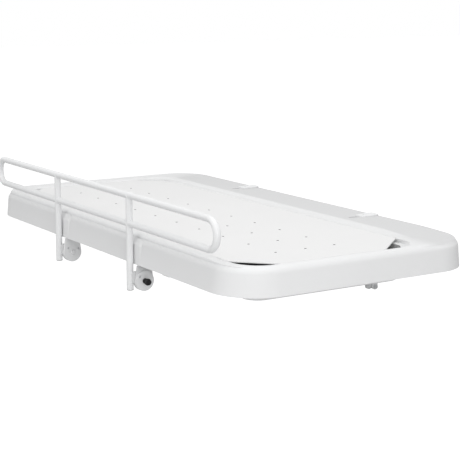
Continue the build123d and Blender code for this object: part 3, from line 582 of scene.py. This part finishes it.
def screw_tree():
    """Button head screws with a hexagon socket and a plain shank, one at each point."""
    tree, start, end = new_tree("socket_screw", [
        ("Head Radius", "NodeSocketFloat", 0.005), ("Head Height", "NodeSocketFloat", 0.003),
        ("Socket Radius", "NodeSocketFloat", 0.002), ("Shank Radius", "NodeSocketFloat", 0.0025),
        ("Shank Length", "NodeSocketFloat", 0.006), ("Turn", "NodeSocketVector", (0.0, 0.0, 0.0)),
        ("Seed", "NodeSocketInt", 5), ("Material", "NodeSocketMaterial", None)])
    nodes_of = tree.nodes
    links = tree.links

    def number(operation, first, second):
        step = nodes_of.new("ShaderNodeMath")
        step.operation = operation
        for place, value in ((0, first), (1, second)):
            if isinstance(value, float):
                step.inputs[place].default_value = value
            else:
                links.new(value, step.inputs[place])
        return step.outputs[0]

    def lifted(geometry, height):
        vector = nodes_of.new("ShaderNodeCombineXYZ")
        links.new(height, vector.inputs["Z"])
        move = nodes_of.new("GeometryNodeTransform")
        links.new(geometry, move.inputs["Geometry"])
        links.new(vector.outputs[0], move.inputs["Translation"])
        return move.outputs["Geometry"]

    rim = nodes_of.new("GeometryNodeMeshCylinder")
    rim.inputs["Vertices"].default_value = 32
    rim_height = number("MULTIPLY", start.outputs["Head Height"], screw_rim_share)
    links.new(start.outputs["Head Radius"], rim.inputs["Radius"])
    links.new(rim_height, rim.inputs["Depth"])
    dome = nodes_of.new("GeometryNodeMeshCone")
    dome.inputs["Vertices"].default_value = 32
    links.new(start.outputs["Head Radius"], dome.inputs["Radius Bottom"])
    dome_top = number("MULTIPLY", start.outputs["Head Radius"], screw_top_share)
    links.new(dome_top, dome.inputs["Radius Top"])
    dome_height = number("MULTIPLY", start.outputs["Head Height"], screw_dome_share)
    links.new(dome_height, dome.inputs["Depth"])
    shank = nodes_of.new("GeometryNodeMeshCylinder")
    shank.inputs["Vertices"].default_value = 20
    links.new(start.outputs["Shank Radius"], shank.inputs["Radius"])
    links.new(start.outputs["Shank Length"], shank.inputs["Depth"])
    socket = nodes_of.new("GeometryNodeMeshCylinder")
    socket.inputs["Vertices"].default_value = 6
    links.new(start.outputs["Socket Radius"], socket.inputs["Radius"])
    socket_depth = number("MULTIPLY", start.outputs["Head Height"], screw_socket_depth_share)
    links.new(socket_depth, socket.inputs["Depth"])
    whole = nodes_of.new("GeometryNodeMeshBoolean")
    whole.operation = "UNION"
    links.new(lifted(rim.outputs["Mesh"], number("MULTIPLY", rim_height, 0.5)), whole.inputs["Mesh 2"])
    links.new(lifted(dome.outputs["Mesh"], rim_height), whole.inputs["Mesh 2"])
    sunk = number("MULTIPLY", start.outputs["Shank Length"], -0.5)
    links.new(lifted(shank.outputs["Mesh"], sunk), whole.inputs["Mesh 2"])
    hollow = nodes_of.new("GeometryNodeMeshBoolean")
    hollow.operation = "DIFFERENCE"
    links.new(whole.outputs["Mesh"], hollow.inputs["Mesh 1"])
    links.new(lifted(socket.outputs["Mesh"], start.outputs["Head Height"]), hollow.inputs["Mesh 2"])
    spin = nodes_of.new("FunctionNodeRandomValue")
    spin.inputs[3].default_value = 1.0
    links.new(start.outputs["Seed"], spin.inputs["Seed"])
    spin_turn = nodes_of.new("ShaderNodeCombineXYZ")
    links.new(spin.outputs[1], spin_turn.inputs["Z"])
    place = nodes_of.new("GeometryNodeInstanceOnPoints")
    links.new(start.outputs["Geometry"], place.inputs["Points"])
    links.new(hollow.outputs["Mesh"], place.inputs["Instance"])
    links.new(start.outputs["Turn"], place.inputs["Rotation"])
    round_turn = nodes_of.new("GeometryNodeRotateInstances")
    links.new(place.outputs["Instances"], round_turn.inputs["Instances"])
    links.new(spin_turn.outputs[0], round_turn.inputs["Rotation"])
    finish_tree(tree, start, end, round_turn.outputs["Instances"])
    return tree


def rib_tree():
    """A flat rib, given as an object, at each point."""
    tree, start, end = new_tree("underside_rib", [
        ("Profile", "NodeSocketObject", None), ("Thickness", "NodeSocketFloat", rib_thickness),
        ("Material", "NodeSocketMaterial", None)])
    shape = tree.nodes.new("GeometryNodeObjectInfo")
    thick = tree.nodes.new("GeometryNodeExtrudeMesh")
    thick.inputs["Individual"].default_value = False
    joined = tree.nodes.new("GeometryNodeJoinGeometry")
    back = tree.nodes.new("GeometryNodeFlipFaces")
    closed = tree.nodes.new("GeometryNodeMergeByDistance")
    place = tree.nodes.new("GeometryNodeInstanceOnPoints")
    links = tree.links
    links.new(start.outputs["Profile"], shape.inputs["Object"])
    links.new(shape.outputs["Geometry"], thick.inputs["Mesh"])
    links.new(start.outputs["Thickness"], thick.inputs["Offset Scale"])
    links.new(shape.outputs["Geometry"], back.inputs["Mesh"])
    links.new(thick.outputs["Mesh"], joined.inputs["Geometry"])
    links.new(back.outputs["Mesh"], joined.inputs["Geometry"])
    links.new(joined.outputs["Geometry"], closed.inputs["Geometry"])
    closed.inputs["Distance"].default_value = merge_reach
    links.new(start.outputs["Geometry"], place.inputs["Points"])
    links.new(closed.outputs["Geometry"], place.inputs["Instance"])
    finish_tree(tree, start, end, place.outputs["Instances"])
    return tree


def points_mesh(name, places):
    mesh = bpy.data.meshes.new(name)
    mesh.from_pydata([tuple(place) for place in places], [], [])
    return mesh


def lines_mesh(name, runs):
    """Edge lines through the points of each run."""
    mesh = bpy.data.meshes.new(name)
    points = []
    edges = []
    for run in runs:
        first = len(points)
        points.extend(tuple(point) for point in run)
        edges.extend((first + step, first + step + 1) for step in range(len(run) - 1))
    mesh.from_pydata(points, edges, [])
    return mesh


def middle_of(node_name):
    low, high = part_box(node_name)
    return (Vector(low) + Vector(high)) / 2


def size_of(node_name):
    low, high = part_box(node_name)
    return Vector(high) - Vector(low)


# Welds of the side rail

def saddle(centre, radius, side):
    """The closed line where a tube along X meets a post of the same radius, on one side of it."""
    run = []
    for step in range(weld_line_steps + 1):
        turn = 2 * math.pi * step / weld_line_steps
        y = radius * math.sin(turn)
        z = radius * math.cos(turn)
        run.append(centre + Vector((side * math.sqrt(max(radius * radius - y * y, 0.0)), y, z)))
    return run


def under_saddle(centre, radius):
    """The closed line where a post meets the underside of a tube along X."""
    run = []
    for step in range(weld_line_steps + 1):
        turn = 2 * math.pi * step / weld_line_steps
        x = radius * math.cos(turn)
        y = radius * math.sin(turn)
        run.append(centre + Vector((x, y, -math.sqrt(max(radius * radius - y * y, 0.0)))))
    return run


def rail_welds(tree):
    runs = []
    top = middle_of("rail_top_bar")
    low_bar = middle_of("rail_low_bar_middle")
    radius = size_of("rail_low_bar_middle").y / 2
    for side in ("left", "right"):
        post = middle_of("rail_post_" + side)
        runs.append(saddle(Vector((post.x, post.y, low_bar.z)), radius, -1))
        runs.append(saddle(Vector((post.x, post.y, low_bar.z)), radius, 1))
        runs.append(under_saddle(Vector((post.x, post.y, top.z)), radius))
        hub_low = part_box("rail_hub_" + side)[0]
        for height in hub_weld_heights:
            runs.append([Vector((post.x + radius * out, post.y + radius * back, hub_low.z + height))
                         for out, back in hub_weld_path_shares])
    welds = grow("rail_welds", lines_mesh("rail_weld_lines", runs), tree,
                 {"Pitch": weld_pitch, "Radius": weld_radius, "Change": weld_change,
                  "Seed": weld_seed, "Material": finishes["rail_white"]})
    hand_over(welds, "rail_top_bar")


# Screws

def screws_for(tree, node_name, places, turn, size):
    """The screws of one node, of the given size, with their heads turned as given."""
    head_radius, head_height, shank_radius, shank_length = size
    values = {"Head Radius": head_radius, "Head Height": head_height,
              "Socket Radius": head_radius * screw_socket_share, "Shank Radius": shank_radius,
              "Shank Length": shank_length, "Turn": turn, "Seed": screw_seeds[node_name],
              "Material": finishes[slot_of[node_name]]}
    piece = grow(node_name + "_socket", points_mesh(node_name + "_points", places), tree, values)
    hand_over(piece, node_name, (node_name,))


def all_screws(tree):
    facing_up = (0.0, 0.0, 0.0)
    facing_x = (0.0, math.pi / 2, 0.0)
    facing_down = (math.pi, 0.0, 0.0)
    head_radius, head_height = plate_screw[:2]
    for side in ("left", "right"):
        low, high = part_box("neck_screws_" + side)
        y = (low.y + high.y) / 2
        seat = low.z + head_height
        places = [(low.x + head_radius, y, seat), (high.x - head_radius, y, seat)]
        screws_for(tree, "neck_screws_" + side, places, facing_down, plate_screw)
        low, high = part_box("cover_screw_" + side)
        places = [((low.x + high.x) / 2, (low.y + high.y) / 2, high.z - cover_screw[1])]
        screws_for(tree, "cover_screw_" + side, places, facing_up, cover_screw)
    low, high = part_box("disc_screws_left")
    seat = high.x - disc_screw[1]
    hub = middle_of("pivot_pin_left")
    turns = [math.radians(turn) for turn in disc_screw_turns_deg]
    places = [(seat, hub.y + disc_screw_ring * math.cos(turn), hub.z + disc_screw_ring * math.sin(turn))
              for turn in turns]
    screws_for(tree, "disc_screws_left", places, facing_x, disc_screw)
    low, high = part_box("disc_screw_right")
    places = [(high.x - disc_screw[1], (low.y + high.y) / 2, (low.z + high.z) / 2)]
    screws_for(tree, "disc_screw_right", places, facing_x, disc_screw)


# Knob

def knob():
    """The pull knob: a turned form with rounded ends, finger flutes and a dished face."""
    low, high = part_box("lock_knob")
    centre = middle_of("lock_knob")
    radius = (high.z - low.z) / 2
    length = high.x - low.x
    steps = knob_flutes * knob_flute_steps
    points = []
    rings = []
    for along, out in knob_profile_shares:
        if out == 0.0:
            rings.append([len(points)])
            points.append((low.x + along * length, centre.y, centre.z))
            continue
        ring = []
        on_side = max(0.0, min(1.0, (out - knob_flute_from_share) / knob_flute_run_share))
        for step in range(steps):
            turn = 2 * math.pi * step / steps
            flute = knob_flute_depth * on_side * (0.5 - 0.5 * math.cos(turn * knob_flutes))
            reach = radius * out - flute
            ring.append(len(points))
            points.append((low.x + along * length, centre.y + reach * math.cos(turn),
                           centre.z + reach * math.sin(turn)))
        rings.append(ring)
    faces = []
    for first, second in zip(rings, rings[1:]):
        for step in range(steps):
            after = (step + 1) % steps
            if len(first) == 1:
                faces.append((first[0], second[after], second[step]))
            elif len(second) == 1:
                faces.append((first[step], first[after], second[0]))
            else:
                faces.append((first[step], first[after], second[after], second[step]))
    mesh = bpy.data.meshes.new("lock_knob_fluted")
    mesh.from_pydata(points, [], faces)
    work = bmesh.new()
    work.from_mesh(mesh)
    bmesh.ops.recalc_face_normals(work, faces=work.faces)
    work.to_mesh(mesh)
    work.free()
    mesh.shade_smooth()
    mesh.materials.append(finishes["knob_black"])
    hand_over(add_object("lock_knob_fluted", mesh), "lock_knob", ("lock_knob",))


# Ribs under the rear deck

def rear_ribs(tree):
    """Stiffening ribs in the hollow behind the basin, clear of the hinge risers."""
    low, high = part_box("tray_shell")
    foot = low.z
    back = high.y
    outline = [(back - inset, height) for inset, height in rib_outline]
    mesh = bpy.data.meshes.new("rib_profile")
    mesh.from_pydata([(0.0, y, foot + z) for y, z in outline], [], [tuple(range(len(outline)))])
    profile = add_object("rib_profile", mesh)
    keep_out = []
    for side in ("left", "right"):
        plate_low, plate_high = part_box("hinge_plate_" + side)
        keep_out.append((plate_low.x - rib_room_left, plate_high.x + rib_room_right))
    places = []
    x = low.x + rib_first
    while x < high.x - rib_last:
        if not any(start < x < end for start, end in keep_out):
            places.append((x, 0.0, 0.0))
        x += rib_pitch
    ribs = grow("underside_ribs", points_mesh("rib_places", places), tree,
                {"Profile": profile, "Thickness": rib_thickness, "Material": finishes["tray_white"]})
    bpy.data.objects.remove(profile)
    hand_over(ribs, "tray_shell")


for node_name, width in eased_widths.items():
    eased(node_name, width)

rail_welds(weld_tree())
all_screws(screw_tree())
rear_ribs(rib_tree())
knob()


# Camera, floor and light

def make_camera():
    data = bpy.data.cameras.new("camera")
    data.sensor_width = camera_sensor
    data.lens = camera_lens
    data.shift_x = camera_shift_x
    camera = bpy.data.objects.new("camera", data)
    camera.location = camera_place
    turn = math.radians(camera_turn_deg)
    drop = math.radians(camera_drop_deg)
    sight = Vector((-math.cos(turn) * math.cos(drop), math.sin(turn) * math.cos(drop), -math.sin(drop)))
    camera.rotation_euler = sight.to_track_quat("-Z", "Y").to_euler()
    bpy.context.scene.collection.objects.link(camera)
    bpy.context.scene.camera = camera


def make_world():
    world = bpy.data.worlds.new("soft_studio")
    bpy.context.scene.world = world
    world.use_nodes = True
    tree = world.node_tree
    light = tree.nodes["Background"]
    light.inputs["Color"].default_value = world_colour
    light.inputs["Strength"].default_value = world_strength
    seen = tree.nodes.new("ShaderNodeBackground")
    seen.inputs["Color"].default_value = world_colour
    seen.inputs["Strength"].default_value = 1.0
    path = tree.nodes.new("ShaderNodeLightPath")
    mix = tree.nodes.new("ShaderNodeMixShader")
    seen_by = tree.nodes.new("ShaderNodeMath")
    seen_by.operation = "MAXIMUM"
    through = tree.nodes.new("ShaderNodeMath")
    through.operation = "MAXIMUM"
    tree.links.new(path.outputs["Is Glossy Ray"], through.inputs[0])
    tree.links.new(path.outputs["Is Transmission Ray"], through.inputs[1])
    tree.links.new(path.outputs["Is Camera Ray"], seen_by.inputs[0])
    tree.links.new(through.outputs[0], seen_by.inputs[1])
    tree.links.new(seen_by.outputs[0], mix.inputs["Fac"])
    tree.links.new(light.outputs[0], mix.inputs[1])
    tree.links.new(seen.outputs[0], mix.inputs[2])
    tree.links.new(mix.outputs[0], tree.nodes["World Output"].inputs["Surface"])


def make_floor():
    mesh = bpy.data.meshes.new("floor")
    low = cad_low.z - floor_drop
    edge = floor_half
    mesh.from_pydata([(-edge, -edge, low), (edge, -edge, low), (edge, edge, low), (-edge, edge, low)],
                     [], [(0, 1, 2, 3)])
    floor = bpy.data.objects.new("floor", mesh)
    bpy.context.scene.collection.objects.link(floor)
    material = bpy.data.materials.new("floor_pale")
    material.use_nodes = True
    tree = material.node_tree
    shader = tree.nodes["Principled BSDF"]
    shader.inputs["Base Color"].default_value = floor_colour
    shader.inputs["Roughness"].default_value = floor_rough
    glow = tree.nodes.new("ShaderNodeEmission")
    path = tree.nodes.new("ShaderNodeLightPath")
    level = tree.nodes.new("ShaderNodeMath")
    level.operation = "MULTIPLY"
    level.inputs[1].default_value = floor_lift
    tree.links.new(path.outputs["Is Camera Ray"], level.inputs[0])
    tree.links.new(level.outputs[0], glow.inputs["Strength"])
    add = tree.nodes.new("ShaderNodeAddShader")
    tree.links.new(shader.outputs[0], add.inputs[0])
    tree.links.new(glow.outputs[0], add.inputs[1])
    tree.links.new(add.outputs[0], tree.nodes["Material Output"].inputs["Surface"])
    mesh.materials.append(material)
    floor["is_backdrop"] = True


def soft_lamp(name, place, target, size, power):
    data = bpy.data.lights.new(name, "AREA")
    data.shape = "SQUARE"
    data.size = size
    data.energy = power
    lamp = bpy.data.objects.new(name, data)
    lamp.location = place
    lamp.rotation_euler = (Vector(target) - Vector(place)).to_track_quat("-Z", "Y").to_euler()
    bpy.context.scene.collection.objects.link(lamp)


make_camera()
make_world()
make_floor()
for lamp in lamps:
    soft_lamp(*lamp)

bpy.context.scene.view_settings.view_transform = "Standard"

low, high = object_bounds()
